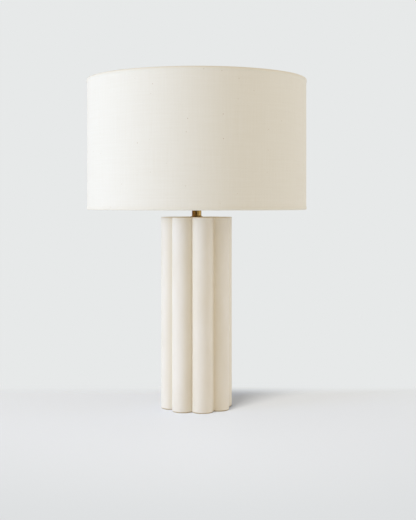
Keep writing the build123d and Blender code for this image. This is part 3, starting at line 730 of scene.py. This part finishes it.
# Rolled beads of the socket: one stiffens the rim of the cap, one the mouth of the shell
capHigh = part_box("socket_cap")[1]
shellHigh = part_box("socket_shell")[1]
roll = {
    "cap": (capHigh.x, capHigh.z - 0.8 * mm), "shell": (shellHigh.x, shellHigh.z - 4.5 * mm),
    "proud": 0.75 * mm, "half": 0.8 * mm, "sunk": 0.2 * mm,
    "arcPoints": 9, "steps": 96, "smooth": 50,
}
rolls = []
for place in ("cap", "shell"):
    radius, height = roll[place]
    arc = [pi * count / (roll["arcPoints"] - 1) - pi / 2 for count in range(roll["arcPoints"])]
    outline = [(radius + roll["proud"] * cos(turn), height + roll["half"] * sin(turn)) for turn in arc]
    outline = [(radius - roll["sunk"], outline[0][1])] + outline + [(radius - roll["sunk"], outline[-1][1])]
    bead = lathe(place + "Roll", outline + outline[:1], roll["steps"])
    finishPiece(bead, sheetBrass, roll["smooth"])
    rolls.append(bead)
print("small pieces made:", len(weldBeads), "welds,", len(rolls), "rolls")

# Felt pad, from a copy of its solid with a softened edge
pad = {"merge": 0.005 * mm, "flat": radians(0.5), "edge": 0.35 * mm}
feltPad = nodes["felt_pad"].copy()
feltPad.data = nodes["felt_pad"].data.copy()
feltPad.name = "feltPad"
feltPad.parent = None
for key in list(feltPad.keys()):  # the marks of the CAD node aren't those of a new piece
    del feltPad[key]
bpy.context.scene.collection.objects.link(feltPad)
bpy.ops.object.select_all(action="DESELECT")
feltPad.select_set(True)
bpy.context.view_layer.objects.active = feltPad
bpy.ops.object.mode_set(mode="EDIT")
bpy.ops.mesh.select_all(action="SELECT")
bpy.ops.mesh.remove_doubles(threshold=pad["merge"])
bpy.ops.mesh.dissolve_limited(angle_limit=pad["flat"])
bpy.ops.object.mode_set(mode="OBJECT")
applyModifier(
    feltPad, "BEVEL", width=pad["edge"], segments=2, limit_method="ANGLE", angle_limit=sharpEdge,
)
finishPiece(feltPad, felt)

# Camera: about level with the lower rim of the shade, a little to the left of the front
view = {"turn": -12.75, "distance": 1.865, "height": 0.380, "lens": 69.2, "shiftX": 0.0217, "shiftY": -0.1096}
turn = radians(view["turn"])
bpy.ops.object.camera_add(
    location=(view["distance"] * sin(turn), -view["distance"] * cos(turn), view["height"]),
    rotation=(pi / 2, 0, turn),
)
camera = bpy.context.object
camera.data.lens = view["lens"]
camera.data.shift_x, camera.data.shift_y = view["shiftX"], view["shiftY"]
bpy.context.scene.camera = camera
bpy.context.scene.view_settings.view_transform = "Standard"

# Soft light: a large lamp far to the left, a weak one on the right, and one for the shadow on the floor
lights = {
    "key": {"place": (-3.94, -0.70, 0.40), "size": 1.7, "power": 127, "colour": "#C9DEFF", "mirrored": False},
    "fill": {"place": (1.9, -0.6, 0.7), "size": 1.4, "power": 5, "colour": "#E8F0FF", "mirrored": True},
    "shadow": {"place": (-3.6, -4.3, 5.0), "size": 3.8, "power": 618, "colour": "#FFF1D6", "mirrored": False},
}
aim = (0, 0, 0.35)
for name, light in lights.items():
    bpy.ops.object.light_add(type="AREA", location=light["place"])
    lamp = bpy.context.object
    lamp.name = name
    lamp.data.shape = "DISK"
    lamp.data.size = light["size"]
    lamp.data.energy = light["power"]
    lamp.data.color = linear(light["colour"])[:3]
    lamp.visible_glossy = light["mirrored"]  # whether metal and glaze show the lamp itself
    away = [a - p for a, p in zip(aim, light["place"])]
    flat = hypot(away[0], away[1])
    lamp.rotation_euler = (pi / 2 - atan2(-away[2], flat), 0, atan2(-away[0], away[1]))
    light["lamp"] = lamp

# Background: an even pale backdrop; what shines mirrors a dim left side and a dark side behind the camera
sky = {
    "light": "#FFF1D6", "lightStrength": 0.69, "backdrop": "#E7E9E9", "dim": "#AE9480", "dark": "#35291F",
    "across": (0.975, -0.22, 0),  # from the left of the picture to its right
    "dimEnd": 0.20, "darkStart": 0.26, "darkEnd": 0.59, "backdropStart": 0.62,  # 0 is far left, 1 far right
}
world = bpy.data.worlds.new("studio")
bpy.context.scene.world = world
world.use_nodes = True
tree = world.node_tree
tree.nodes.clear()
path = addNode(tree, "LightPath", {})
seen = addNode(
    tree, "Math", {0: path.outputs["Is Camera Ray"], 1: path.outputs["Is Glossy Ray"]}, operation="MAXIMUM",
)
seen = addNode(tree, "Math", {0: seen, 1: path.outputs["Is Transmission Ray"]}, operation="MAXIMUM")
facing = addNode(tree, "TexCoord", {}).outputs["Generated"]
side = addNode(tree, "VectorMath", {0: facing, 1: sky["across"]}, operation="DOT_PRODUCT")
sweep = addNode(tree, "MapRange", {"Value": side.outputs["Value"], "From Min": -1, "From Max": 1})
mirrored = addNode(
    tree, "ValToRGB", {"Fac": sweep},
    stops=(
        (sky["dimEnd"], sky["dim"]), (sky["darkStart"], sky["dark"]),
        (sky["darkEnd"], sky["dark"]), (sky["backdropStart"], sky["backdrop"]),
    ),
)
shown = addNode(
    tree, "Mix", {"Factor": path.outputs["Is Glossy Ray"], "A": linear(sky["backdrop"]), "B": mirrored},
    data_type="RGBA",
)
ambient = addNode(tree, "Background", {"Color": linear(sky["light"]), "Strength": sky["lightStrength"]})
surround = addNode(tree, "Background", {"Color": shown, "Strength": 1})
both = addNode(tree, "MixShader", {0: seen, 1: ambient, 2: surround})
addNode(tree, "OutputWorld", {"Surface": both})

# Floor: pale and plain, fading into the backdrop
ground = {
    "radius": 6.0, "corners": 96, "near": "#C5D0E7", "front": "#DEE0E1",
    "bounce": "#BBC3D5",  # how it colours the light that it throws on the lamp
    "fadeStart": 0.2, "fadeEnd": 0.75,  # away from the lamp, on all sides
    "behindStart": 0.11, "behindEnd": 0.21,  # behind the lamp
    "frontEdge": -0.3,  # from here forwards the floor that has faded has the tone of the front
    "frontStart": 0.8, "frontEnd": 1.8,  # where the tone of the front ends, so that no horizon shows
    "depth": (0.22, 0.975, 0),  # from the front of the picture to its back
    # light that starts this close passes through, so that the felt shows when it is looked at from below
    "contact": 1 * mm,
}
bpy.ops.object.select_all(action="DESELECT")
bpy.ops.mesh.primitive_circle_add(vertices=ground["corners"], radius=ground["radius"], fill_type="NGON")
floor = bpy.context.object
floor.name = "floor"
floorPaint, tree, shader = newMaterial("paleFloor", {"Roughness": 0.7})
ray = addNode(tree, "LightPath", {})
topTone = addNode(
    tree, "Mix",
    {"Factor": ray.outputs["Is Diffuse Ray"], "A": linear(ground["near"]), "B": linear(ground["bounce"])},
    data_type="RGBA",
)
feed(tree, shader, Base_Color=topTone)
place = addNode(tree, "TexCoord", {}).outputs["Object"]
reach = addNode(tree, "VectorMath", {0: place}, operation="LENGTH")
around = addNode(
    tree, "MapRange",
    {"Value": reach.outputs["Value"], "From Min": ground["fadeStart"], "From Max": ground["fadeEnd"]},
    interpolation_type="SMOOTHSTEP",
)
depth = addNode(tree, "VectorMath", {0: place, 1: ground["depth"]}, operation="DOT_PRODUCT").outputs["Value"]
behind = addNode(
    tree, "MapRange", {"Value": depth, "From Min": ground["behindStart"], "From Max": ground["behindEnd"]},
    interpolation_type="SMOOTHSTEP",
)
fade = addNode(tree, "Math", {0: around, 1: behind}, operation="MAXIMUM")
back = addNode(
    tree, "MapRange", {"Value": depth, "From Min": ground["frontEdge"], "From Max": ground["behindEnd"]},
)
beyond = addNode(
    tree, "MapRange",
    {"Value": reach.outputs["Value"], "From Min": ground["frontStart"], "From Max": ground["frontEnd"]},
    interpolation_type="SMOOTHSTEP",
)
plain = addNode(tree, "Math", {0: back, 1: beyond}, operation="MAXIMUM")
farTone = addNode(
    tree, "Mix", {"Factor": plain, "A": linear(ground["front"]), "B": linear(sky["backdrop"])},
    data_type="RGBA",
)
distant = addNode(tree, "Emission", {"Color": farTone, "Strength": 1})
joined = addNode(tree, "MixShader", {0: fade, 1: shader, 2: distant})
# clear from below, so that the foot can be seen
below = addNode(tree, "NewGeometry", {}).outputs["Backfacing"]
touching = addNode(tree, "Math", {0: ray.outputs["Ray Length"], 1: ground["contact"]}, operation="LESS_THAN")
gone = addNode(tree, "Math", {0: below, 1: touching}, operation="MAXIMUM")
clear = addNode(tree, "BsdfTransparent", {})
oneSided = addNode(tree, "MixShader", {0: gone, 1: joined, 2: clear})
tree.links.new(oneSided.outputs["Shader"], tree.nodes["Material Output"].inputs["Surface"])
floor.data.materials.append(floorPaint)
floorOnly = bpy.data.collections.new("floorOnly")
floorOnly.objects.link(floor)
foot = bpy.data.collections.new("foot")
foot.objects.link(nodes["ceramic_column"])
shadowLinks = lights["shadow"]["lamp"].light_linking  # this lamp only draws the column's shadow on the floor
shadowLinks.receiver_collection, shadowLinks.blocker_collection = floorOnly, foot
print("camera, light and floor set")

for piece in (linenDrum, topHem, bottomHem, linenLap, filmLap):
    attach(piece, "shade")
for piece in weldBeads:
    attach(piece, "shade")
for piece in rolls:
    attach(piece, "base")
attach(feltPad, "base")
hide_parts("shade_fabric")
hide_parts("top_trim")
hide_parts("bottom_trim")
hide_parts("felt_pad")
